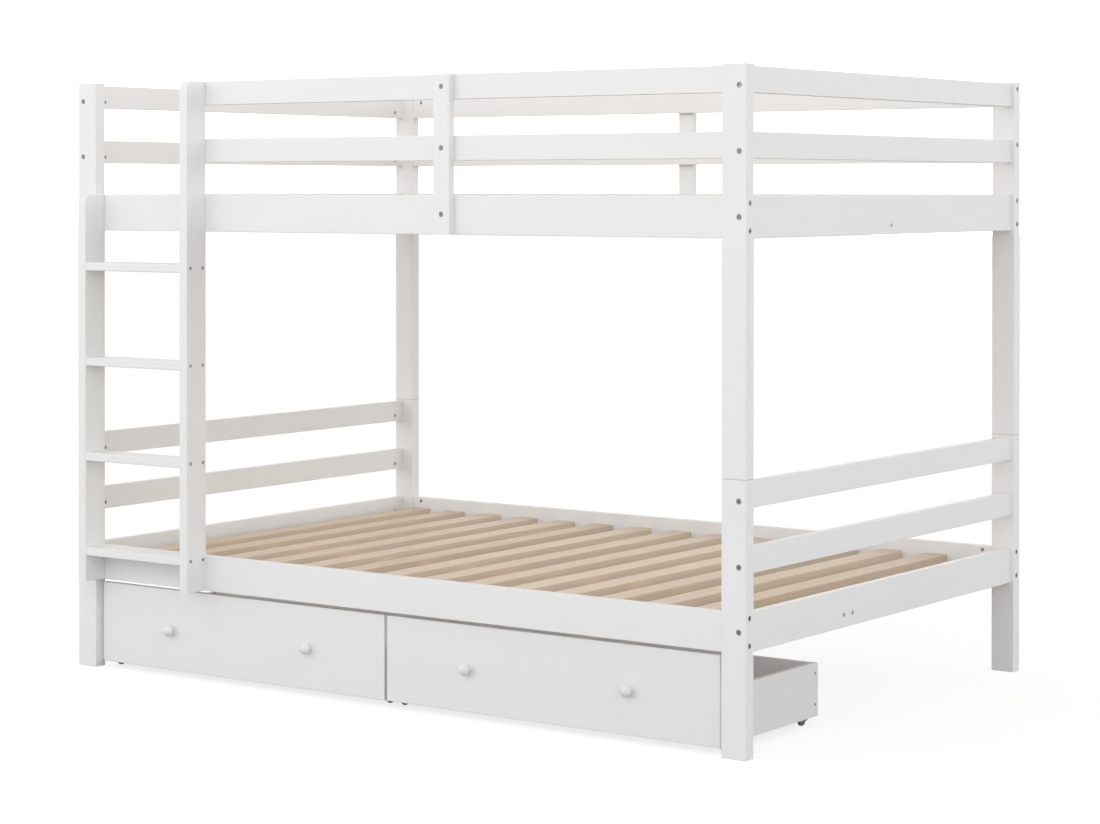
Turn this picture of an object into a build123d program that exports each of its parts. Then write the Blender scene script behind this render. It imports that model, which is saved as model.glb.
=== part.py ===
from build123d import *
import os

os.makedirs("parts", exist_ok=True)

# Bunk bed with a fixed ladder and two rolling drawers under the lower bunk.
# Millimetres. +X along the bed, away from the ladder; +Y from the ladder side
# to the rear; +Z up. Origin: on the floor, in the middle of the footprint.

# ---------------------------------------------------------------- dimensions
length = 2054.0  # over the posts, along X
width = 1440.0  # over the posts, along Y
height = 1560.0
ladder_reach = 67.0  # the ladder stands this far in front of the posts
stile_reach = 15.0  # the guard stiles stand this far proud of the posts

post_x, post_y = 63.0, 36.0
post_split = 628.0  # upper posts stand on the lower posts here
soft_edge = 1.8

side_rail_t = 22.0
side_rail_inset = 7.0
end_rail_t = 18.0
end_rail_inset = 9.0
narrow = 61.0  # height of a guard rail and of the low end rails

lower_bed = (237.0, 328.0)
upper_bed = (1168.0, 1264.0)
lower_end_rails = (445.0, 592.5)  # centre heights
guard_rails = (1377.5, 1525.5)  # centre heights

slat_count, slat_w, slat_t, slat_pitch = 15, 62.0, 22.0, 133.28
ledger_w, ledger_h = 20.0, 30.4
lower_slat_z, upper_slat_z = 273.4, 1204.4  # underside of the slats

stile_w, stile_t = 48.0, 22.0
front_stile_x = 192.7

ladder_t = 26.0
ladder_left_x = -951.0
ladder_right_x = -592.4
ladder_foot = 238.0
ladder_nose_r = 25.0
tread_z = (318.2, 569.8, 821.4, 1073.0)
tread_t = 22.0

bolt_r, bolt_head_r, bolt_head_h = 3.0, 6.3, 3.2
bolt_hole_r = 3.2
nut_r = 5.0
end_nut_in, side_nut_in = 39.3, 29.5  # rail end to barrel nut axis
dowel_r = 4.0
pin_r, pin_len = 5.0, 80.0
fit = 0.05  # clearance round pins, nuts and dowels

drawer_w = 948.0
drawer_centres = {"left": -482.0, "right": 474.5}
drawer_face = 21.0  # front face, measured from the posts' front
drawer_front_t = 16.0
drawer_front_z = (15.5, 226.5)
drawer_wall_t = 12.0
drawer_wall_z = (19.0, 148.0)
drawer_depth = 478.5  # rear end of the sides, measured from the posts' front
drawer_floor_z, drawer_floor_t = 33.0, 4.0
knob_dome_r, knob_reach, knob_x, knob_z = 17.0, 25.0, 230.0, 121.0
wheel_r, wheel_w, wheel_bore_r = 15.0, 7.0, 2.08
axle_r = 2.0
caster_y = (72.0, 432.0)
caster_w, caster_l = 13.0, 54.0

# ------------------------------------------------------------- derived values
y_shift = -(width + stile_reach - ladder_reach) / 2


def Y(depth):
    """Y of a point that lies this deep behind the posts' front faces."""
    return y_shift + depth


half_x = length / 2
inner_x = half_x - post_x  # inner faces of the posts
end_rail_x = half_x - end_rail_inset - end_rail_t / 2
end_inner_x = end_rail_x - end_rail_t / 2
end_outer_x = end_rail_x + end_rail_t / 2
post_mid_x = half_x - post_x / 2
front_y, rear_y = Y(post_y / 2), Y(width - post_y / 2)  # middle of posts and side rails
sides = {"left": -1, "right": 1}
# outward direction, outer post face, inner post face, middle of the post
ends = {
    "front": (-1, Y(0), Y(post_y), front_y),
    "rear": (1, Y(width), Y(width - post_y), rear_y),
}

# heights of the bolts that run along Y into the end rails, and their dowels
end_bolts = {
    "lower": (286.0, 431.5, 579.5),
    "upper": (1216.0, 1363.8, 1511.7),
}
end_dowels = {
    "lower": (258.0, 312.0, 458.5, 606.0),
    "upper": (1188.0, 1244.0, 1391.0, 1539.0),
}
# heights of the bolts that run along X into the side rails, and their dowels
side_bolts = {"lower": (255.0, 317.0), "upper": (1184.5, 1247.0)}
side_dowels = {"lower": (286.0,), "upper": (1216.0,)}
guard_bolts = (1394.7, 1541.7)  # rear posts only
guard_dowels = (1364.0, 1512.0)
front_guard_dowels = (1364.0, 1391.0, 1512.0, 1539.0)
stile_bolts = (1217.0, 1377.5, 1525.5)
ladder_bolts = {"left": (312.0, 1245.0), "right": (312.0, 1245.0, 1377.5, 1525.5)}
ledger_screw_x = (-900.0, -450.0, 0.0, 450.0, 900.0)


def facing(x, y, z, nx, ny, nz=0):
    """Plane at a point of a face, its normal pointing out of the wood."""
    return Plane(origin=(x, y, z), z_dir=(nx, ny, nz))


def save(piece, name):
    piece.part.label = name
    export_step(piece.part, f"parts/{name}.step")


# ------------------------------------------------------------------ fasteners
def make_bolt(under_head):
    """Cylinder-head bolt, head top at Z=0, with a hexagon socket."""
    with BuildPart() as bolt:
        with BuildSketch(Plane.XY):
            Circle(bolt_head_r)
        extrude(amount=-bolt_head_h)
        chamfer(bolt.edges().group_by(Axis.Z)[-1], 0.9)
        with BuildSketch(Plane.XY.offset(-bolt_head_h)):
            Circle(bolt_r)
        extrude(amount=-under_head)
        with BuildSketch(Plane.XY):
            RegularPolygon(2.9, 6)
        extrude(amount=-2.2, mode=Mode.SUBTRACT)
    return bolt.part


def make_screw(radius, head, total):
    """Countersunk wood screw, head top at Z=0, with a cross recess."""
    with BuildPart() as screw:
        with BuildSketch(Plane.XZ):
            with BuildLine():
                Polyline(
                    (0, 0),
                    (head, 0),
                    (head, -0.3),
                    (radius, -0.3 - (head - radius) * 1.15),
                    (radius, -total + 3),
                    (0.4, -total),
                    (0, -total),
                    close=True,
                )
            make_face()
        revolve(axis=Axis.Z)
        with BuildSketch(Plane.XY):
            Rectangle(head * 1.1, 0.9)
            Rectangle(0.9, head * 1.1)
        extrude(amount=-1.2, mode=Mode.SUBTRACT)
    return screw.part


def make_barrel_nut(nut_length, bolt_depth):
    """Barrel nut, slotted end at Z=0, bolt hole across it."""
    with BuildPart() as nut:
        with BuildSketch(Plane.XY):
            Circle(nut_r)
        extrude(amount=-nut_length)
        with BuildSketch(Plane.XY):
            Rectangle(2 * nut_r + 1, 1.5)
        extrude(amount=-1.2, mode=Mode.SUBTRACT)
        with BuildSketch(Plane.XZ):
            with Locations((0, -bolt_depth)):
                Circle(bolt_r + fit)
        extrude(amount=nut_r + 1, both=True, mode=Mode.SUBTRACT)
    return nut.part


def make_rod(radius, rod_length, tip):
    """Dowel or pin, middle at the origin, along Z."""
    with BuildPart() as rod:
        with BuildSketch(Plane.XY.offset(-rod_length / 2)):
            Circle(radius)
        extrude(amount=rod_length)
        chamfer(rod.edges(), tip)
    return rod.part


def make_insert():
    """Threaded sleeve pressed into a rail or stile, open end at Z=0."""
    with BuildPart() as sleeve:
        with BuildSketch(Plane.XY):
            Circle(nut_r)
            Circle(bolt_r + fit, mode=Mode.SUBTRACT)
        extrude(amount=-13)
    return sleeve.part


# ---------------------------------------------------------------------- posts
for side, sx in sides.items():
    for end, (out, y_out, y_in, y_mid) in ends.items():
        for level, z0, z1 in (("lower", 0.0, post_split), ("upper", post_split, height)):
            with BuildPart() as post:
                with BuildSketch(Plane.XY.offset(z0)):
                    with Locations((sx * post_mid_x, y_mid)):
                        Rectangle(post_x, post_y)
                extrude(amount=z1 - z0)
                fillet(post.edges().filter_by(Axis.Z), soft_edge)
                if level == "upper":
                    chamfer(post.faces().sort_by(Axis.Z)[0].edges(), 0.6)
                    fillet(post.faces().sort_by(Axis.Z)[-1].edges(), soft_edge)
                else:
                    chamfer(post.faces().sort_by(Axis.Z)[0].edges(), 1.0)
                    chamfer(post.faces().sort_by(Axis.Z)[-1].edges(), 0.6)
                # bolts along Y, into the end rails
                with Locations(*[facing(sx * end_rail_x, y_out, z, 0, out) for z in end_bolts[level]]):
                    CounterBoreHole(bolt_hole_r, bolt_head_r + 0.4, bolt_head_h + 0.3)
                # bolts along X, into the side rails and the rear guard rails
                heights = side_bolts[level]
                pegs = side_dowels[level]
                if level == "upper" and end == "rear":
                    heights, pegs = heights + guard_bolts, pegs + guard_dowels
                if level == "upper" and (side, end) == ("right", "front"):
                    pegs = pegs + front_guard_dowels
                with Locations(*[facing(sx * half_x, y_mid, z, sx, 0) for z in heights]):
                    CounterBoreHole(bolt_hole_r, bolt_head_r + 0.4, bolt_head_h + 0.3)
                with Locations(*[facing(sx * inner_x, y_mid, z, -sx, 0) for z in pegs]):
                    Hole(dowel_r + fit, 20.2)
                with Locations(*[facing(sx * end_rail_x, y_in, z, 0, -out) for z in end_dowels[level]]):
                    Hole(dowel_r + fit, 12.2)
                # hidden pin between lower and upper post
                up = 1 if level == "lower" else -1
                with Locations(facing(sx * post_mid_x, y_mid, post_split, 0, 0, up)):
                    Hole(pin_r + fit, pin_len / 2 + 0.5)
            save(post, f"{level}_post_{end}_{side}")

with BuildPart() as post_joint_pins:
    pin = make_rod(pin_r, pin_len, 1.0)
    with Locations(*[(sx * post_mid_x, y, post_split) for sx in (-1, 1) for y in (front_y, rear_y)]):
        add(pin)
save(post_joint_pins, "post_joint_pins")

# ------------------------------------------------- bed rails along X (4 pieces)
for level, (z0, z1) in (("lower", lower_bed), ("upper", upper_bed)):
    for end, (out, y_out, y_in, y_mid) in ends.items():
        y_face = y_mid - out * side_rail_t / 2  # face towards the mattress
        with BuildPart() as side_rail:
            with BuildSketch(Plane.XY.offset(z0)):
                with Locations((0, y_mid)):
                    Rectangle(2 * inner_x, side_rail_t)
            extrude(amount=z1 - z0)
            fillet(side_rail.edges().filter_by(Axis.X), soft_edge)
            for sx in (-1, 1):
                with Locations(*[facing(sx * inner_x, y_mid, z, sx, 0) for z in side_bolts[level]]):
                    Hole(bolt_hole_r, side_nut_in + 10)
                with Locations(
                    *[facing(sx * (inner_x - side_nut_in), y_face, z, 0, -out) for z in side_bolts[level]]
                ):
                    Hole(nut_r + fit, 17)
                with Locations(*[facing(sx * inner_x, y_mid, z, sx, 0) for z in side_dowels[level]]):
                    Hole(dowel_r + fit, 20.2)
            ledger_mid = (lower_slat_z if level == "lower" else upper_slat_z) - ledger_h / 2
            with Locations(*[facing(x, y_face, ledger_mid, 0, -out) for x in ledger_screw_x]):
                Hole(2.05, 15.5)
            if end == "front":
                for x in (ladder_left_x, ladder_right_x):
                    z = ladder_bolts["left"][0 if level == "lower" else 1]
                    with Locations(facing(x, y_face, z, 0, 1)):
                        CounterBoreHole(bolt_hole_r, bolt_head_r + 0.4, bolt_head_h + 0.3)
            if level == "upper":
                stile_x = front_stile_x if end == "front" else 0.0
                outer = y_mid + out * side_rail_t / 2
                with Locations(facing(stile_x, outer, stile_bolts[0], 0, out)):
                    Hole(nut_r + fit, 13.2)
                    Hole(bolt_hole_r, 17)
        save(side_rail, f"{level}_side_rail_{end}")

# ------------------------------------------------- bed rails along Y (4 pieces)
for level, (z0, z1) in (("lower", lower_bed), ("upper", upper_bed)):
    for side, sx in sides.items():
        with BuildPart() as end_rail:
            with BuildSketch(Plane.XY.offset(z0)):
                with Locations((sx * end_rail_x, Y(width / 2))):
                    Rectangle(end_rail_t, width - 2 * post_y)
            extrude(amount=z1 - z0)
            fillet(end_rail.edges().filter_by(Axis.Y), soft_edge)
            for end, (out, y_out, y_in, y_mid) in ends.items():
                with Locations(facing(sx * end_rail_x, y_in, end_bolts[level][0], 0, out)):
                    Hole(bolt_hole_r, end_nut_in + 12)
                with Locations(facing(sx * end_inner_x, y_in - out * end_nut_in, end_bolts[level][0], -sx, 0)):
                    Hole(nut_r + fit, 14.5)
                with Locations(*[facing(sx * end_rail_x, y_in, z, 0, out) for z in end_dowels[level][:2]]):
                    Hole(dowel_r + fit, 18.2)
            # screws that hold the middle beam
            if level == "lower":
                spots = [facing(sx * end_outer_x, Y(500.5 + dy), 267.0, sx, 0) for dy in (-22.0, 22.0)]
            else:
                spots = [facing(sx * end_outer_x, Y(width / 2), 1189.3, sx, 0)]
            with Locations(*spots):
                CounterSinkHole(2.05, 5.35)
        save(end_rail, f"{level}_end_rail_{side}")

# ------------------------------- pairs of narrow rails along Y at the bed's ends
for level, centres, node in (
    ("lower", lower_end_rails, "lower_end_guard_rails"),
    ("upper", guard_rails, "upper_end_guard_rails"),
):
    for side, sx in sides.items():
        with BuildPart() as pair:
            for zc, z_bolt, z_dowel in zip(centres, end_bolts[level][1:], end_dowels[level][2:]):
                with BuildSketch(Plane.XY.offset(zc - narrow / 2)):
                    with Locations((sx * end_rail_x, Y(width / 2))):
                        Rectangle(end_rail_t, width - 2 * post_y)
                extrude(amount=narrow)
            fillet(pair.edges().filter_by(Axis.Y), soft_edge)
            for zc, z_bolt, z_dowel in zip(centres, end_bolts[level][1:], end_dowels[level][2:]):
                for end, (out, y_out, y_in, y_mid) in ends.items():
                    with Locations(facing(sx * end_rail_x, y_in, z_bolt, 0, out)):
                        Hole(bolt_hole_r, end_nut_in + 12)
                    with Locations(facing(sx * end_inner_x, y_in - out * end_nut_in, z_bolt, -sx, 0)):
                        Hole(nut_r + fit, 14.5)
                    with Locations(facing(sx * end_rail_x, y_in, z_dowel, 0, out)):
                        Hole(dowel_r + fit, 18.2)
        save(pair, f"{node}_{side}")

# ------------------------------------------------------ guard rails along X
with BuildPart() as front_guard_rails:
    x0 = ladder_right_x - ladder_t / 2 + 2
    for zc in guard_rails:
        with BuildSketch(Plane.XY.offset(zc - narrow / 2)):
            with Locations(((x0 + inner_x) / 2, front_y)):
                Rectangle(inner_x - x0, side_rail_t)
        extrude(amount=narrow)
    fillet(front_guard_rails.edges().filter_by(Axis.X), soft_edge)
    with Locations(*[facing(inner_x, front_y, z, 1, 0) for z in front_guard_dowels]):
        Hole(dowel_r + fit, 20.2)
    with Locations(*[facing(ladder_right_x, front_y + side_rail_t / 2, z, 0, 1) for z in guard_rails]):
        CounterBoreHole(bolt_hole_r, bolt_head_r + 0.4, bolt_head_h + 0.3)
    with Locations(*[facing(front_stile_x, front_y - side_rail_t / 2, z, 0, -1) for z in guard_rails]):
        Hole(nut_r + fit, 13.2)
        Hole(bolt_hole_r, 17)
save(front_guard_rails, "front_guard_rails")

with BuildPart() as rear_guard_rails:
    for zc in guard_rails:
        with BuildSketch(Plane.XY.offset(zc - narrow / 2)):
            with Locations((0, rear_y)):
                Rectangle(2 * inner_x, side_rail_t)
        extrude(amount=narrow)
    fillet(rear_guard_rails.edges().filter_by(Axis.X), soft_edge)
    for sx in (-1, 1):
        with Locations(*[facing(sx * inner_x, rear_y, z, sx, 0) for z in guard_bolts]):
            Hole(bolt_hole_r, side_nut_in + 10)
        with Locations(
            *[facing(sx * (inner_x - side_nut_in), rear_y - side_rail_t / 2, z, 0, -1) for z in guard_bolts]
        ):
            Hole(nut_r + fit, 17)
        with Locations(*[facing(sx * inner_x, rear_y, z, sx, 0) for z in guard_dowels]):
            Hole(dowel_r + fit, 20.2)
    with Locations(*[facing(0, rear_y + side_rail_t / 2, z, 0, 1) for z in guard_rails]):
        Hole(nut_r + fit, 13.2)
        Hole(bolt_hole_r, 17)
save(rear_guard_rails, "rear_guard_rails")

for end, x, y_mid, out in (
    ("front", front_stile_x, Y(side_rail_inset - stile_t / 2), -1),
    ("rear", 0.0, Y(width - side_rail_inset + stile_t / 2), 1),
):
    with BuildPart() as guard_stile:
        with BuildSketch(Plane.XY.offset(upper_bed[0])):
            with Locations((x, y_mid)):
                Rectangle(stile_w, stile_t)
        extrude(amount=1556 - upper_bed[0])
        fillet(guard_stile.edges().filter_by(Axis.Z), soft_edge)
        fillet(guard_stile.faces().sort_by(Axis.Z)[-1].edges(), 1.5)
        with Locations(*[facing(x, y_mid + out * stile_t / 2, z, 0, out) for z in stile_bolts]):
            CounterBoreHole(bolt_hole_r, bolt_head_r + 0.4, bolt_head_h + 0.3)
    save(guard_stile, f"{end}_guard_stile")

# --------------------------------------------------------------------- ladder
for side, x, top, out in (
    ("left", ladder_left_x, 1264.0, -1),
    ("right", ladder_right_x, 1556.0, 1),
):
    with BuildPart() as ladder_stile:
        with BuildSketch(Plane.YZ.offset(x - ladder_t / 2)):
            with BuildLine():
                Polyline(
                    (Y(side_rail_inset), ladder_foot),
                    (Y(-ladder_reach), ladder_foot),
                    (Y(-ladder_reach), top - ladder_nose_r),
                )
                RadiusArc(
                    (Y(-ladder_reach), top - ladder_nose_r),
                    (Y(-ladder_reach) + ladder_nose_r, top),
                    ladder_nose_r,
                )
                Polyline(
                    (Y(-ladder_reach) + ladder_nose_r, top),
                    (Y(side_rail_inset), top),
                    (Y(side_rail_inset), ladder_foot),
                )
            make_face()
        extrude(amount=ladder_t)
        fillet(ladder_stile.faces().filter_by(Axis.X).edges(), soft_edge)
        with Locations(
            *[facing(x + out * ladder_t / 2, Y(d), z + 0.9, out, 0) for z in tread_z for d in (-52.0, -4.5)]
        ):
            CounterSinkHole(2.05, 5.35)
        with Locations(*[facing(x, Y(side_rail_inset), z, 0, 1) for z in ladder_bolts[side]]):
            Hole(nut_r + fit, 13.2)
            Hole(bolt_hole_r, 22)
    save(ladder_stile, f"ladder_stile_{side}")

with BuildPart() as ladder_treads:
    tread_x0, tread_x1 = ladder_left_x + ladder_t / 2, ladder_right_x - ladder_t / 2
    for z in tread_z:
        with BuildSketch(Plane.XY.offset(z - tread_t / 2)):
            with Locations(((tread_x0 + tread_x1) / 2, Y(-29.5))):
                Rectangle(tread_x1 - tread_x0, 69.0)
        extrude(amount=tread_t)
    fillet(ladder_treads.edges().filter_by(Axis.X), 2.5)
    for x, out in ((tread_x0, -1), (tread_x1, 1)):
        with Locations(*[facing(x, Y(d), z + 0.9, out, 0) for z in tread_z for d in (-52.0, -4.5)]):
            Hole(2.05, 29)
save(ladder_treads, "ladder_treads")

# ------------------------------------------------------- slats and their seat
for level, z in (("lower", lower_slat_z), ("upper", upper_slat_z)):
    with BuildPart() as slats:
        with BuildSketch(Plane.XY.offset(z)):
            with Locations((0, Y(width / 2))):
                with GridLocations(slat_pitch, 1, slat_count, 1):
                    Rectangle(slat_w, width - 62)
        extrude(amount=slat_t)
        fillet(slats.edges().filter_by(Axis.Y), 1.5)
    save(slats, f"{level}_slats")

with BuildPart() as slat_ledgers:
    for z in (lower_slat_z, upper_slat_z):
        with BuildSketch(Plane.XY.offset(z - ledger_h)):
            for end, (out, y_out, y_in, y_mid) in ends.items():
                with Locations((0, y_mid - out * (side_rail_t + ledger_w) / 2)):
                    Rectangle(2 * inner_x, ledger_w)
        extrude(amount=ledger_h)
    fillet(slat_ledgers.edges().filter_by(Axis.X), 1.0)
    for z in (lower_slat_z, upper_slat_z):
        for end, (out, y_out, y_in, y_mid) in ends.items():
            y_face = y_mid - out * (side_rail_t / 2 + ledger_w)
            with Locations(*[facing(x, y_face, z - ledger_h / 2, 0, -out) for x in ledger_screw_x]):
                CounterSinkHole(2.05, 4.45)
save(slat_ledgers, "slat_ledgers")

with BuildPart() as slat_support_beams:
    with BuildSketch(Plane.XY.offset(lower_slat_z - 21)):
        with Locations((0, Y(500.5))):
            Rectangle(2 * end_inner_x, 80)
    extrude(amount=21)
    with BuildSketch(Plane.XY.offset(upper_slat_z - 34)):
        with Locations((0, Y(width / 2))):
            Rectangle(2 * end_inner_x, 24)
    extrude(amount=34)
    fillet(slat_support_beams.edges().filter_by(Axis.X), 1.5)
    for sx in (-1, 1):
        with Locations(
            facing(sx * end_inner_x, Y(478.5), 267.0, sx, 0),
            facing(sx * end_inner_x, Y(522.5), 267.0, sx, 0),
            facing(sx * end_inner_x, Y(width / 2), 1189.3, sx, 0),
        ):
            Hole(2.05, 28)
save(slat_support_beams, "slat_support_beams")

# ------------------------------------------------- fasteners of the bed frame
end_bolt = make_bolt(post_y + end_nut_in + 5 - bolt_head_h)
side_bolt = make_bolt(post_x + side_nut_in + 5 - bolt_head_h)
short_bolt = make_bolt(33.0)
head_gap = 0.3  # head tops lie this far below the wood

with BuildPart() as frame_bolts:
    spots = []
    for sx in (-1, 1):
        for end, (out, y_out, y_in, y_mid) in ends.items():
            for z in end_bolts["lower"] + end_bolts["upper"]:
                spots.append(facing(sx * end_rail_x, y_out - out * head_gap, z, 0, out))
    with Locations(*spots):
        add(end_bolt)
    spots = []
    for sx in (-1, 1):
        for end, (out, y_out, y_in, y_mid) in ends.items():
            heights = side_bolts["lower"] + side_bolts["upper"]
            if end == "rear":
                heights = heights + guard_bolts
            for z in heights:
                spots.append(facing(sx * (half_x - head_gap), y_mid, z, sx, 0))
    with Locations(*spots):
        add(side_bolt)
    spots = [facing(front_stile_x, Y(-stile_reach + head_gap), z, 0, -1) for z in stile_bolts]
    spots += [facing(0, Y(width + stile_reach - head_gap), z, 0, 1) for z in stile_bolts]
    for x, heights in ((ladder_left_x, ladder_bolts["left"]), (ladder_right_x, ladder_bolts["right"])):
        spots += [facing(x, front_y + side_rail_t / 2 - head_gap, z, 0, 1) for z in heights]
    with Locations(*spots):
        add(short_bolt)
save(frame_bolts, "frame_bolts")

end_nut = make_barrel_nut(14.0, end_rail_t / 2)
side_nut = make_barrel_nut(16.0, side_rail_t / 2)
insert = make_insert()
with BuildPart() as bolt_nuts:
    # the hole across each nut lies along its bolt
    spots = []
    for sx in (-1, 1):
        for end, (out, y_out, y_in, y_mid) in ends.items():
            for z in end_bolts["lower"] + end_bolts["upper"]:
                spots.append(
                    Plane(
                        origin=(sx * end_inner_x, y_in - out * end_nut_in, z),
                        x_dir=(0, 0, 1),
                        z_dir=(-sx, 0, 0),
                    )
                )
    with Locations(*spots):
        add(end_nut)
    spots = []
    for sx in (-1, 1):
        for end, (out, y_out, y_in, y_mid) in ends.items():
            heights = side_bolts["lower"] + side_bolts["upper"]
            if end == "rear":
                heights = heights + guard_bolts
            for z in heights:
                spots.append(
                    Plane(
                        origin=(sx * (inner_x - side_nut_in), y_mid - out * side_rail_t / 2, z),
                        x_dir=(0, 0, 1),
                        z_dir=(0, -out, 0),
                    )
                )
    with Locations(*spots):
        add(side_nut)
    spots = [facing(front_stile_x, front_y - side_rail_t / 2, z, 0, -1) for z in stile_bolts]
    spots += [facing(0, rear_y + side_rail_t / 2, z, 0, 1) for z in stile_bolts]
    for x, heights in ((ladder_left_x, ladder_bolts["left"]), (ladder_right_x, ladder_bolts["right"])):
        spots += [facing(x, Y(side_rail_inset), z, 0, 1) for z in heights]
    with Locations(*spots):
        add(insert)
save(bolt_nuts, "bolt_nuts")

end_peg = make_rod(dowel_r, 30.0, 0.8)
side_peg = make_rod(dowel_r, 40.0, 0.8)
with BuildPart() as wood_dowels:
    spots = []
    for sx in (-1, 1):
        for end, (out, y_out, y_in, y_mid) in ends.items():
            for z in end_dowels["lower"] + end_dowels["upper"]:
                spots.append(facing(sx * end_rail_x, y_in - out * 3, z, 0, out))
    with Locations(*spots):
        add(end_peg)
    spots = []
    for side, sx in sides.items():
        for end, (out, y_out, y_in, y_mid) in ends.items():
            heights = side_dowels["lower"] + side_dowels["upper"]
            if end == "rear":
                heights = heights + guard_dowels
            elif side == "right":
                heights = heights + front_guard_dowels
            for z in heights:
                spots.append(facing(sx * inner_x, y_mid, z, sx, 0))
    with Locations(*spots):
        add(side_peg)
save(wood_dowels, "wood_dowels")

tread_screw = make_screw(2.0, 4.9, 54.0)
beam_screw = make_screw(2.0, 4.9, 45.0)
ledger_screw = make_screw(2.0, 4.0, 35.0)
with BuildPart() as wood_screws:
    spots = []
    for x, out in ((ladder_left_x, -1), (ladder_right_x, 1)):
        for z in tread_z:
            for d in (-52.0, -4.5):
                spots.append(facing(x + out * (ladder_t / 2 - 0.1), Y(d), z + 0.9, out, 0))
    with Locations(*spots):
        add(tread_screw)
    spots = []
    for sx in (-1, 1):
        spots.append(facing(sx * (end_outer_x - 0.1), Y(478.5), 267.0, sx, 0))
        spots.append(facing(sx * (end_outer_x - 0.1), Y(522.5), 267.0, sx, 0))
        spots.append(facing(sx * (end_outer_x - 0.1), Y(width / 2), 1189.3, sx, 0))
    with Locations(*spots):
        add(beam_screw)
    spots = []
    for z in (lower_slat_z, upper_slat_z):
        for end, (out, y_out, y_in, y_mid) in ends.items():
            y_face = y_mid - out * (side_rail_t / 2 + ledger_w - 0.1)
            for x in ledger_screw_x:
                spots.append(facing(x, y_face, z - ledger_h / 2, 0, -out))
    with Locations(*spots):
        add(ledger_screw)
save(wood_screws, "wood_screws")

# -------------------------------------------------------------------- drawers
back_y = drawer_depth - 12.5  # middle of the back panel
groove_in = 6.2
rim_r = (knob_dome_r**2 - 5.0**2) ** 0.5
back_screw = make_screw(2.0, 3.6, 40.0)
caster_screw = make_screw(1.5, 2.8, 21.0)
peg = make_rod(3.0, 28.0, 0.6)
with BuildPart() as knob_screw:
    with BuildSketch(Plane.XY.offset(2.4)):
        Circle(4.0)
    extrude(amount=-2.4)
    fillet(knob_screw.edges().group_by(Axis.Z)[-1], 1.0)
    with BuildSketch(Plane.XY):
        Circle(2.0)
    extrude(amount=-26)

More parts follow.
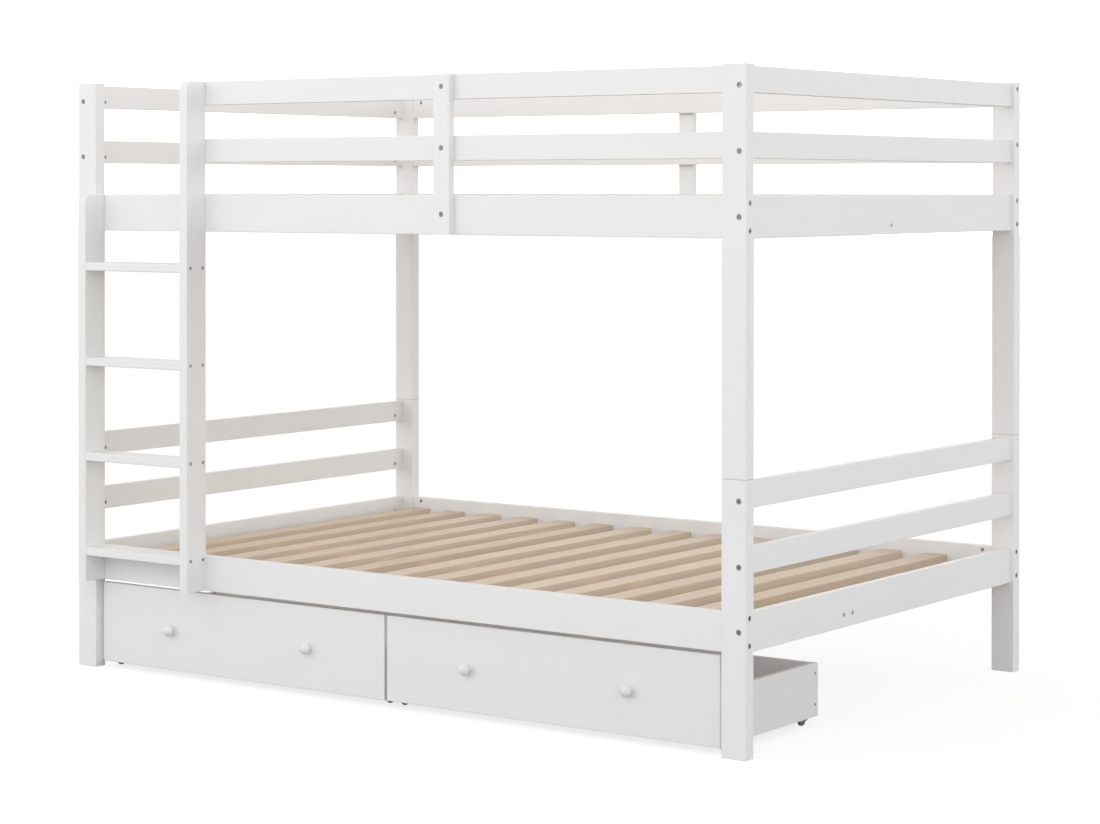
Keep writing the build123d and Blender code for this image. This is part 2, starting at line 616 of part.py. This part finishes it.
for side, cx in drawer_centres.items():
    half = drawer_w / 2
    y_back_of_front = Y(drawer_face + drawer_front_t)

    with BuildPart() as drawer_front:
        with BuildSketch(Plane.XY.offset(drawer_front_z[0])):
            with Locations((cx, Y(drawer_face + drawer_front_t / 2))):
                Rectangle(drawer_w, drawer_front_t)
        extrude(amount=drawer_front_z[1] - drawer_front_z[0])
        fillet(drawer_front.faces().sort_by(Axis.Y)[0].edges(), 1.5)
        with BuildSketch(Plane.XY.offset(drawer_floor_z - 0.1)):
            with Locations((cx, y_back_of_front)):
                Rectangle(2 * (half - drawer_wall_t + groove_in), 2 * groove_in)
        extrude(amount=drawer_floor_t + 0.2, mode=Mode.SUBTRACT)
        with Locations(*[facing(cx + s * knob_x, Y(drawer_face), knob_z, 0, -1) for s in (-1, 1)]):
            Hole(2.2)
        with Locations(
            *[facing(cx + s * (half - 6), y_back_of_front, z, 0, 1) for s in (-1, 1) for z in (70.0, 125.0)]
        ):
            Hole(3 + fit, 10.2)
    save(drawer_front, f"drawer_{side}_front")

    with BuildPart() as drawer_sides:
        y_len = Y(drawer_depth) - y_back_of_front
        with BuildSketch(Plane.XY.offset(drawer_wall_z[0])):
            with Locations(*[(cx + s * (half - drawer_wall_t / 2), y_back_of_front + y_len / 2) for s in (-1, 1)]):
                Rectangle(drawer_wall_t, y_len)
        extrude(amount=drawer_wall_z[1] - drawer_wall_z[0])
        top_rear = drawer_sides.edges().filter_by(Axis.X).group_by(Axis.Z)[-1].sort_by(Axis.Y)[-2:]
        fillet(top_rear, 8.0)
        with BuildSketch(Plane.XY.offset(drawer_floor_z - 0.1)):
            with Locations((cx, y_back_of_front + y_len / 2)):
                Rectangle(2 * (half - drawer_wall_t + groove_in), y_len + 2)
        extrude(amount=drawer_floor_t + 0.2, mode=Mode.SUBTRACT)
        for s in (-1, 1):
            with Locations(*[facing(cx + s * half, Y(back_y), z, s, 0) for z in (48.0, 122.0)]):
                CounterSinkHole(2.05, 4.05, drawer_wall_t + 1)
            with Locations(*[facing(cx + s * (half - 6), y_back_of_front, z, 0, -1) for z in (70.0, 125.0)]):
                Hole(3 + fit, 18.2)
            with Locations(
                *[
                    facing(cx + s * (half - drawer_wall_t), Y(y + d), 26.0, -s, 0)
                    for y in caster_y
                    for d in (-22.0, 22.0)
                ]
            ):
                Hole(1.55, 8.6)
    save(drawer_sides, f"drawer_{side}_sides")

    with BuildPart() as drawer_back:
        with BuildSketch(Plane.XY.offset(drawer_wall_z[0])):
            with Locations((cx, Y(back_y))):
                Rectangle(2 * (half - drawer_wall_t), drawer_wall_t)
        extrude(amount=drawer_wall_z[1] - 1 - drawer_wall_z[0])
        with BuildSketch(Plane.XY.offset(drawer_floor_z - 0.1)):
            with Locations((cx, Y(back_y) - drawer_wall_t / 2)):
                Rectangle(drawer_w, 2 * groove_in)
        extrude(amount=drawer_floor_t + 0.2, mode=Mode.SUBTRACT)
        for s in (-1, 1):
            with Locations(*[facing(cx + s * (half - drawer_wall_t), Y(back_y), z, s, 0) for z in (48.0, 122.0)]):
                Hole(2.05, 28.5)
    save(drawer_back, f"drawer_{side}_back")

    with BuildPart() as drawer_floor:
        y0, y1 = y_back_of_front - groove_in + 0.2, Y(back_y) - drawer_wall_t / 2 + groove_in - 0.2
        with BuildSketch(Plane.XY.offset(drawer_floor_z)):
            with Locations((cx, (y0 + y1) / 2)):
                Rectangle(2 * (half - drawer_wall_t + groove_in - 0.3), y1 - y0)
        extrude(amount=drawer_floor_t)
    save(drawer_floor, f"drawer_{side}_floor")

    # turned knobs, axis along Y
    with BuildPart() as drawer_knobs:
        for s in (-1, 1):
            kx, ky = cx + s * knob_x, Y(drawer_face)
            with BuildSketch(Plane(origin=(kx, ky, knob_z), x_dir=(1, 0, 0), z_dir=(0, 0, 1))) as turned:
                with BuildLine():
                    Line((0, 0), (9.0, 0))
                    ThreePointArc((9.0, 0), (7.1, -4.2), (8.4, -8.4))
                    ThreePointArc((8.4, -8.4), (13.0, -10.4), (rim_r, -13.0))
                    # domed face, a sphere centred on the axis
                    ThreePointArc(
                        (rim_r, -13.0),
                        (0.6 * knob_dome_r, knob_dome_r - knob_reach - 0.8 * knob_dome_r),
                        (0, -knob_reach),
                    )
                    Line((0, -knob_reach), (0, 0))
                make_face()
                fillet(turned.vertices().sort_by(Axis.X)[-1], 2.2)
            revolve(axis=Axis((kx, ky, knob_z), (0, 1, 0)))
            with Locations(facing(kx, ky, knob_z, 0, 1)):
                Hole(2 + fit, 12)
    save(drawer_knobs, f"drawer_{side}_knobs")

    caster_x = half - drawer_wall_t - caster_w / 2
    with BuildPart() as caster_brackets:
        for s in (-1, 1):
            for y in caster_y:
                x0 = cx + s * caster_x
                with BuildSketch(Plane.YZ.offset(x0 - caster_w / 2)):
                    with BuildLine():
                        Polyline(
                            (Y(y) - caster_l / 2, drawer_floor_z),
                            (Y(y) - caster_l / 2, 17.5),
                            (Y(y) - caster_l / 2 + 15, 10.5),
                            (Y(y) + caster_l / 2 - 15, 10.5),
                            (Y(y) + caster_l / 2, 17.5),
                            (Y(y) + caster_l / 2, drawer_floor_z),
                            close=True,
                        )
                    make_face()
                extrude(amount=caster_w)
                with BuildSketch(Plane.XY.offset(5)):
                    with Locations((x0, Y(y))):
                        Rectangle(wheel_w + 1, 2 * wheel_r + 2.5)
                extrude(amount=26.5, mode=Mode.SUBTRACT)
                with Locations(facing(x0 + caster_w / 2, Y(y), wheel_r, 1, 0)):
                    Hole(axle_r + fit, caster_w + 1)
                with Locations(*[facing(x0 - s * caster_w / 2, Y(y + d), 26.0, -s, 0) for d in (-22.0, 22.0)]):
                    CounterSinkHole(1.55, 3.25, caster_w + 1)
    save(caster_brackets, f"drawer_{side}_caster_brackets")

    with BuildPart() as caster_axles:
        axle = make_rod(axle_r, caster_w - 0.6, 0.3)
        spots = [facing(cx + s * caster_x, Y(y), wheel_r, 1, 0) for s in (-1, 1) for y in caster_y]
        with Locations(*spots):
            add(axle)
    save(caster_axles, f"drawer_{side}_caster_axles")

    for row, y in zip(("front", "rear"), caster_y):
        for hand, s in sides.items():
            with BuildPart() as wheel:
                x0 = cx + s * caster_x
                with BuildSketch(Plane(origin=(x0, Y(y), wheel_r), x_dir=(1, 0, 0), z_dir=(0, -1, 0))):
                    with Locations((0, (wheel_r + wheel_bore_r) / 2)):
                        Rectangle(wheel_w, wheel_r - wheel_bore_r)
                    # a shallow web between hub and tread, on both faces
                    for t in (-1, 1):
                        with Locations((t * wheel_w / 2, 8.6)):
                            Rectangle(3.0, 6.4, mode=Mode.SUBTRACT)
                revolve(axis=Axis((x0, Y(y), wheel_r), (1, 0, 0)))
                rim = wheel.edges().filter_by(GeomType.CIRCLE).sort_by(lambda e: e.radius)[-2:]
                fillet(rim, 1.4)
            save(wheel, f"drawer_{side}_wheel_{row}_{hand}")

    with BuildPart() as drawer_fasteners:
        spots = [facing(cx + s * (half - 0.1), Y(back_y), z, s, 0) for s in (-1, 1) for z in (48.0, 122.0)]
        with Locations(*spots):
            add(back_screw)
        spots = []
        for s in (-1, 1):
            for y in caster_y:
                for d in (-22.0, 22.0):
                    spots.append(facing(cx + s * (caster_x - caster_w / 2 + 0.1), Y(y + d), 26.0, -s, 0))
        with Locations(*spots):
            add(caster_screw)
        with Locations(*[facing(cx + s * knob_x, y_back_of_front, knob_z, 0, 1) for s in (-1, 1)]):
            add(knob_screw.part)
        with Locations(
            *[facing(cx + s * (half - 6), y_back_of_front + 4, z, 0, 1) for s in (-1, 1) for z in (70.0, 125.0)]
        ):
            add(peg)
    save(drawer_fasteners, f"drawer_{side}_fasteners")
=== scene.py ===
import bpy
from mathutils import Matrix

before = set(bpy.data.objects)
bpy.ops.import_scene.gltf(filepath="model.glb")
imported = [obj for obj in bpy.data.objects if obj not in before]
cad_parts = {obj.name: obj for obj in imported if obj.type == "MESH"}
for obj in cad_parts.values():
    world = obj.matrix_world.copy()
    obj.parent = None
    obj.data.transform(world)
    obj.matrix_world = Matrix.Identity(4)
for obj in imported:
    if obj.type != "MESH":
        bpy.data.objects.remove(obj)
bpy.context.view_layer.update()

import math

import bpy
from mathutils import Matrix, Vector

scene = bpy.context.scene
scene.view_settings.view_transform = "Standard"
scene.view_settings.look = "None"
scene.view_settings.exposure = 0.0
scene.view_settings.gamma = 1.0

# ------------------------------------------------------------------ camera
# Stands in front of the ladder side, beyond the far right post, at 1.28 m.
WIDTH_PX, HEIGHT_PX = 1100, 824
focal_px, centre_x, centre_y = 2730.66, 404.65, 211.37
cam_data = bpy.data.cameras.new("camera")
cam = bpy.data.objects.new("camera", cam_data)
scene.collection.objects.link(cam)
forward = Vector((-0.60397, 0.79696, -0.00887)).normalized()
right = forward.cross(Vector((0, 0, 1))).normalized()
up = right.cross(forward)
cam.matrix_world = Matrix(
    (
        (right.x, up.x, -forward.x, 4.0982),
        (right.y, up.y, -forward.y, -6.0073),
        (right.z, up.z, -forward.z, 1.2828),
        (0, 0, 0, 1),
    )
)
cam_data.sensor_fit = "HORIZONTAL"
cam_data.sensor_width = 36.0
cam_data.lens = focal_px / WIDTH_PX * 36.0
cam_data.shift_x = (WIDTH_PX / 2 - centre_x) / WIDTH_PX
cam_data.shift_y = (centre_y - HEIGHT_PX / 2) / WIDTH_PX
cam_data.clip_end = 200.0
scene.camera = cam


# --------------------------------------------------------------- node helpers
class Graph:
    """Small helper that adds and links shader nodes."""

    def __init__(self, name):
        self.mat = bpy.data.materials.new(name)
        self.mat.use_nodes = True
        self.nt = self.mat.node_tree
        self.nt.nodes.clear()
        self.out = self.nt.nodes.new("ShaderNodeOutputMaterial")
        self.bsdf = self.nt.nodes.new("ShaderNodeBsdfPrincipled")
        self.nt.links.new(self.bsdf.outputs["BSDF"], self.out.inputs["Surface"])

    def put(self, socket, value):
        if value is None:
            return
        if isinstance(value, bpy.types.NodeSocket):
            self.nt.links.new(value, socket)
        else:
            socket.default_value = value

    def coords(self):
        return self.nt.nodes.new("ShaderNodeTexCoord").outputs["Object"]

    def math(self, op, a, b=None, c=None, clamp=False):
        n = self.nt.nodes.new("ShaderNodeMath")
        n.operation = op
        n.use_clamp = clamp
        for i, v in enumerate((a, b, c)):
            self.put(n.inputs[i], v)
        return n.outputs[0]

    def vmath(self, op, a, b=None, scale=None):
        n = self.nt.nodes.new("ShaderNodeVectorMath")
        n.operation = op
        self.put(n.inputs[0], a)
        self.put(n.inputs[1], b)
        if scale is not None:
            self.put(n.inputs["Scale"], scale)
        return n.outputs["Value"] if op in ("LENGTH", "DOT_PRODUCT", "DISTANCE") else n.outputs["Vector"]

    def split(self, v):
        n = self.nt.nodes.new("ShaderNodeSeparateXYZ")
        self.put(n.inputs[0], v)
        return n.outputs[0], n.outputs[1], n.outputs[2]

    def join(self, x=0.0, y=0.0, z=0.0):
        n = self.nt.nodes.new("ShaderNodeCombineXYZ")
        for i, v in enumerate((x, y, z)):
            self.put(n.inputs[i], v)
        return n.outputs[0]

    def noise(self, vec, scale=1.0, detail=2.0, rough=0.5, distort=0.0, out="Fac"):
        n = self.nt.nodes.new("ShaderNodeTexNoise")
        self.put(n.inputs["Vector"], vec)
        n.inputs["Scale"].default_value = scale
        n.inputs["Detail"].default_value = detail
        n.inputs["Roughness"].default_value = rough
        n.inputs["Distortion"].default_value = distort
        return n.outputs[0] if out == "Fac" else n.outputs["Color"]

    def white(self, value):
        n = self.nt.nodes.new("ShaderNodeTexWhiteNoise")
        n.noise_dimensions = "1D"
        self.put(n.inputs["W"], value)
        return n.outputs["Value"], n.outputs["Color"]

    def range(self, v, a, b, c, d, smooth=False):
        n = self.nt.nodes.new("ShaderNodeMapRange")
        n.interpolation_type = "SMOOTHSTEP" if smooth else "LINEAR"
        self.put(n.inputs["Value"], v)
        for key, x in (("From Min", a), ("From Max", b), ("To Min", c), ("To Max", d)):
            n.inputs[key].default_value = x
        return n.outputs[0]

    def mix(self, f, a, b, blend="MIX"):
        n = self.nt.nodes.new("ShaderNodeMix")
        n.data_type = "RGBA"
        n.blend_type = blend
        self.put(n.inputs[0], f)
        for i, v in ((6, a), (7, b)):
            if isinstance(v, tuple) and len(v) == 3:
                v = (*v, 1.0)
            self.put(n.inputs[i], v)
        return n.outputs[2]

    def bump(self, height, strength, distance, normal=None):
        n = self.nt.nodes.new("ShaderNodeBump")
        n.inputs["Strength"].default_value = strength
        n.inputs["Distance"].default_value = distance
        self.put(n.inputs["Height"], height)
        self.put(n.inputs["Normal"], normal)
        return n.outputs[0]

    def set(self, **values):
        names = {"color": "Base Color", "rough": "Roughness", "metal": "Metallic", "normal": "Normal",
                 "coat": "Coat Weight", "coat_rough": "Coat Roughness", "ior": "IOR", "spec": "Specular IOR Level"}
        for key, v in values.items():
            if isinstance(v, tuple) and len(v) == 3:
                v = (*v, 1.0)
            self.put(self.bsdf.inputs[names[key]], v)
        return self.mat


def along(g, axis, fine, slow):
    """Object coordinates stretched so that a noise runs in long streaks along one axis."""
    scale = [fine, fine, fine]
    scale["XYZ".index(axis)] = slow
    return g.vmath("MULTIPLY", g.coords(), tuple(scale))


# ------------------------------------------------------------------ materials
def painted_wood(name, axis, tone, grain=1.0, rough=0.42, joint=None):
    """Satin white paint on planed softwood: grain telegraphs faintly through the film."""
    g = Graph(name)
    p = g.coords()
    broad = g.noise(g.vmath("MULTIPLY", p, (2.1, 2.1, 2.1)), 1.0, 3.0, 0.5)
    streak = g.noise(along(g, axis, 170.0, 3.2), 1.0, 3.0, 0.55)
    fibre = g.noise(along(g, axis, 720.0, 9.0), 1.0, 2.0, 0.5)
    mottling = g.noise(g.vmath("MULTIPLY", p, (38.0, 38.0, 38.0)), 1.0, 2.0, 0.5)
    # film colour: warmer where it lies thin over the wood
    lines = g.math("MULTIPLY", g.range(streak, 0.46, 0.72, 0.0, 1.0, True), 0.30 * grain)
    blotch = g.range(broad, 0.35, 0.7, 0.0, 1.0, True)
    light = tone
    dim = tuple(c * f for c, f in zip(tone, (0.97, 0.97, 0.968)))
    base = g.mix(g.math("MULTIPLY", blotch, 0.45), light, dim)
    base = g.mix(lines, base, tuple(c * f for c, f in zip(tone, (0.945, 0.94, 0.93))))
    if joint is not None:
        # painted shade: a dark hairline at the joint where one post stands on another, standing in for the shade in
        # the gap
        off = g.math("ABSOLUTE", g.math("SUBTRACT", g.split(p)[2], joint))
        base = g.mix(g.range(off, 0.0005, 0.0012, 0.75, 0.0, True), base, (0.42, 0.415, 0.41))
    shine = g.math("ADD", g.range(mottling, 0.3, 0.7, rough - 0.05, rough + 0.05), g.math("MULTIPLY", streak, 0.06))
    height = g.math("ADD", g.math("MULTIPLY", streak, 0.7 * grain), g.math("MULTIPLY", fibre, 0.35 * grain))
    height = g.math("ADD", height, g.math("MULTIPLY", mottling, 0.25))
    return g.set(color=base, rough=shine, normal=g.bump(height, 0.22, 0.0006), spec=0.42)


def painted_board(name, axis, tone, rough=0.4):
    """Smooth satin paint on board: no grain, a fine roller texture."""
    g = Graph(name)
    p = g.coords()
    broad = g.noise(g.vmath("MULTIPLY", p, (1.7, 1.7, 1.7)), 1.0, 2.0, 0.5)
    peel = g.noise(g.vmath("MULTIPLY", p, (420.0, 420.0, 420.0)), 1.0, 2.0, 0.5)
    cloud = g.noise(g.vmath("MULTIPLY", p, (24.0, 24.0, 24.0)), 1.0, 3.0, 0.5)
    dim = tuple(c * f for c, f in zip(tone, (0.975, 0.975, 0.975)))
    base = g.mix(g.range(broad, 0.35, 0.7, 0.0, 0.8, True), tone, dim)
    shine = g.range(cloud, 0.3, 0.7, rough - 0.04, rough + 0.06)
    return g.set(color=base, rough=shine, normal=g.bump(peel, 0.12, 0.0003), spec=0.42)


def bare_pine(name, pitch, axis="Y"):
    """Planed pine slats: each slat has growth rings round a heart of its own."""
    g = Graph(name)
    p = g.coords()
    x, y, z = g.split(p)
    index = g.math("FLOOR", g.math("ADD", g.math("DIVIDE", x, pitch), 0.5))
    level = g.math("FLOOR", g.math("MULTIPLY", z, 1.3))
    seed = g.math("ADD", g.math("MULTIPLY", level, 31.7), index)
    value, colour = g.white(seed)
    r1, r2, r3 = g.split(colour)
    local_x = g.math("SUBTRACT", x, g.math("MULTIPLY", index, pitch))
    shift = g.join(0.0, g.math("MULTIPLY", value, 40.0), 0.0)
    slow = g.noise(g.vmath("MULTIPLY", g.vmath("ADD", p, shift), (5.0, 0.9, 5.0)), 1.0, 2.0, 0.5)
    heart_x = g.range(r1, 0.0, 1.0, -0.07, 0.07)
    heart_z = g.range(r2, 0.0, 1.0, -0.09, -0.02)
    rx = g.math("SUBTRACT", local_x, heart_x)
    rz = g.math("SUBTRACT", g.math("MODULO", z, 0.31), g.math("ADD", heart_z, 0.28))
    radius = g.math("SQRT", g.math("ADD", g.math("MULTIPLY", rx, rx), g.math("MULTIPLY", rz, rz)))
    radius = g.math("ADD", radius, g.range(slow, 0.2, 0.8, -0.016, 0.016))
    ring = g.math("FRACT", g.math("DIVIDE", radius, 0.0062))
    late = g.math("POWER", ring, 3.0)  # late wood darkens towards the ring's edge
    fibre = g.noise(g.vmath("MULTIPLY", g.vmath("ADD", p, shift), (620.0, 7.0, 620.0)), 1.0, 3.0, 0.6)
    streak = g.noise(g.vmath("MULTIPLY", g.vmath("ADD", p, shift), (95.0, 2.2, 95.0)), 1.0, 2.0, 0.5)
    early = (0.770, 0.632, 0.490)
    dark = (0.600, 0.455, 0.325)
    base = g.mix(g.math("MULTIPLY", late, 0.42), early, dark)
    base = g.mix(g.range(fibre, 0.4, 0.75, 0.0, 0.30), base, (0.62, 0.475, 0.345))
    base = g.mix(g.range(streak, 0.35, 0.7, 0.0, 0.28), base, (0.765, 0.655, 0.545))
    # every slat has its own tone
    tint = g.mix(r3, (0.95, 0.935, 0.91), (1.04, 1.045, 1.05))
    base = g.mix(1.0, base, tint, "MULTIPLY")
    shine = g.math("ADD", g.range(fibre, 0.3, 0.7, 0.50, 0.62), g.math("MULTIPLY", late, -0.06))
    height = g.math("ADD", g.math("MULTIPLY", fibre, 0.8), g.math("MULTIPLY", late, 0.35))
    return g.set(color=base, rough=shine, normal=g.bump(height, 0.35, 0.0005), spec=0.35)


def plated(name, tone, dull, rough, contrast=0.12):
    """Plated steel: bright, with duller patches and fine scratches."""
    g = Graph(name)
    p = g.coords()
    patch = g.noise(g.vmath("MULTIPLY", p, (260.0, 260.0, 260.0)), 1.0, 3.0, 0.6)
    scratch = g.noise(g.vmath("MULTIPLY", p, (2600.0, 300.0, 900.0)), 1.0, 2.0, 0.5)
    base = g.mix(g.range(patch, 0.35, 0.7, 0.0, 1.0, True), tone, dull)
    shine = g.math("ADD", g.range(patch, 0.3, 0.7, rough - contrast / 2, rough + contrast), g.math("MULTIPLY", scratch, 0.08))
    return g.set(color=base, rough=shine, metal=1.0, normal=g.bump(scratch, 0.2, 0.0001))


def plastic(name, tone, rough):
    """Moulded plastic with a fine spark texture and scuffs."""
    g = Graph(name)
    p = g.coords()
    spark = g.noise(g.vmath("MULTIPLY", p, (1500.0, 1500.0, 1500.0)), 1.0, 2.0, 0.5)
    scuff = g.noise(g.vmath("MULTIPLY", p, (120.0, 120.0, 120.0)), 1.0, 4.0, 0.6)
    worn = g.range(scuff, 0.52, 0.75, 0.0, 0.5, True)
    base = g.mix(worn, tone, tuple(min(1.0, c * 1.7 + 0.02) for c in tone))
    shine = g.range(scuff, 0.3, 0.7, rough - 0.06, rough + 0.12)
    return g.set(color=base, rough=shine, normal=g.bump(spark, 0.25, 0.00012))


paint = (0.845, 0.845, 0.845)
board = (0.835, 0.835, 0.838)
wood_by_axis = {a: painted_wood(f"white_paint_{a.lower()}", a, paint) for a in "XYZ"}
front_board = painted_board("drawer_front_board", "X", board)
box_board = painted_board("drawer_box_board", "Y", (0.79, 0.787, 0.79))
# the posts carry a painted shade line at the joint height, 0.628 m
post_paint = painted_wood("white_paint_posts", "Z", paint, joint=0.628)
knob_paint = painted_board("knob_paint", "X", (0.82, 0.82, 0.82), 0.26)
pine = bare_pine("bare_pine", 0.13328)
bolt_steel = plated("bolt_steel", (0.38, 0.38, 0.385), (0.24, 0.24, 0.245), 0.32)
zinc = plated("zinc_steel", (0.46, 0.46, 0.47), (0.32, 0.32, 0.33), 0.3)
caster_plastic = plastic("caster_plastic", (0.26, 0.26, 0.265), 0.42)
caster_wheel = plastic("caster_wheel", (0.16, 0.16, 0.163), 0.45)


def material_for(node):
    if "wheel" in node:
        return caster_wheel
    if "caster_brackets" in node:
        return caster_plastic
    if "knobs" in node:
        return knob_paint
    if node in ("frame_bolts", "bolt_nuts"):
        return bolt_steel
    if node in ("wood_screws", "post_joint_pins") or "fasteners" in node or "axles" in node:
        return zinc
    if node in ("lower_slats", "upper_slats", "slat_support_beams", "wood_dowels"):
        return pine
    if node.startswith("drawer_"):
        return front_board if node.endswith("_front") else box_board
    if "_post_" in node:
        return post_paint
    if "stile" in node:
        return wood_by_axis["Z"]
    if "end_rail" in node or "end_guard" in node:
        return wood_by_axis["Y"]
    return wood_by_axis["X"]


for node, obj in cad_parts.items():
    mat = material_for(node)
    if not obj.material_slots:
        obj.data.materials.append(mat)
    for slot in obj.material_slots:
        slot.material = mat

# ------------------------------------------------------------ floor and light
def floor_plane(name, height, material):
    mesh = bpy.data.meshes.new(name)
    s = 60.0
    mesh.from_pydata([(-s, -s, height), (s, -s, height), (s, s, height), (-s, s, height)], [], [(0, 1, 2, 3)])
    plane = bpy.data.objects.new(name, mesh)
    scene.collection.objects.link(plane)
    mesh.materials.append(material)
    return plane


def matte_floor(name, tone, other, glow):
    """Matt floor paint with a faint unevenness; seen from below it is open."""
    g = Graph(name)
    cloud = g.noise(g.vmath("MULTIPLY", g.coords(), (0.6, 0.6, 0.6)), 1.0, 2.0, 0.5)
    g.set(color=g.mix(g.range(cloud, 0.3, 0.7, 0.0, 1.0), tone, other), rough=0.9, spec=0.0)
    g.bsdf.inputs["Emission Color"].default_value = (1.0, 1.0, 1.0, 1.0)
    g.bsdf.inputs["Emission Strength"].default_value = glow
    back = g.nt.nodes.new("ShaderNodeNewGeometry").outputs["Backfacing"]
    clear = g.nt.nodes.new("ShaderNodeBsdfTransparent")
    both = g.nt.nodes.new("ShaderNodeMixShader")
    g.nt.links.new(back, both.inputs[0])
    g.nt.links.new(g.bsdf.outputs[0], both.inputs[1])
    g.nt.links.new(clear.outputs[0], both.inputs[2])
    g.nt.links.new(both.outputs[0], g.out.inputs["Surface"])
    return g.mat


# The pale floor that is seen, and under it a greyer one that sends the light back up.
shown = floor_plane("floor", 0.0, matte_floor("floor_pale", (0.26, 0.26, 0.26), (0.25, 0.25, 0.25), 0.80))
shown.visible_diffuse = shown.visible_glossy = shown.visible_transmission = shown.visible_shadow = False
under = floor_plane("floor_bounce", -0.0004, matte_floor("floor_grey", (0.5, 0.5, 0.5), (0.49, 0.49, 0.49), 0.0))
under.visible_camera = False

world = bpy.data.worlds.new("studio")
scene.world = world
world.use_nodes = True
background = world.node_tree.nodes["Background"]
background.inputs["Color"].default_value = (1.0, 1.0, 1.0, 1.0)
# brightest at the horizon, dim overhead: strength = 1.973 - 1.677 * max(height, 0)
direction = world.node_tree.nodes.new("ShaderNodeTexCoord")
height_split = world.node_tree.nodes.new("ShaderNodeSeparateXYZ")
above = world.node_tree.nodes.new("ShaderNodeMath")
above.operation = "MAXIMUM"
above.inputs[1].default_value = 0.0
fade = world.node_tree.nodes.new("ShaderNodeMath")
fade.operation = "MULTIPLY_ADD"
fade.inputs[1].default_value = -1.677
fade.inputs[2].default_value = 1.973
world.node_tree.links.new(direction.outputs["Generated"], height_split.inputs[0])
world.node_tree.links.new(height_split.outputs[2], above.inputs[0])
world.node_tree.links.new(above.outputs[0], fade.inputs[0])
world.node_tree.links.new(fade.outputs[0], background.inputs["Strength"])


def softbox(name, place, aim, size, power):
    data = bpy.data.lights.new(name, "AREA")
    data.shape = "RECTANGLE"
    data.size, data.size_y = size
    data.energy = power
    lamp = bpy.data.objects.new(name, data)
    lamp.location = place
    lamp.rotation_euler = (Vector(aim) - Vector(place)).to_track_quat("-Z", "Y").to_euler()
    scene.collection.objects.link(lamp)
    return lamp


softbox("front", (-0.5, -3.6, 2.6), (0, 0, 1.5), (4.0, 1.2), 19)
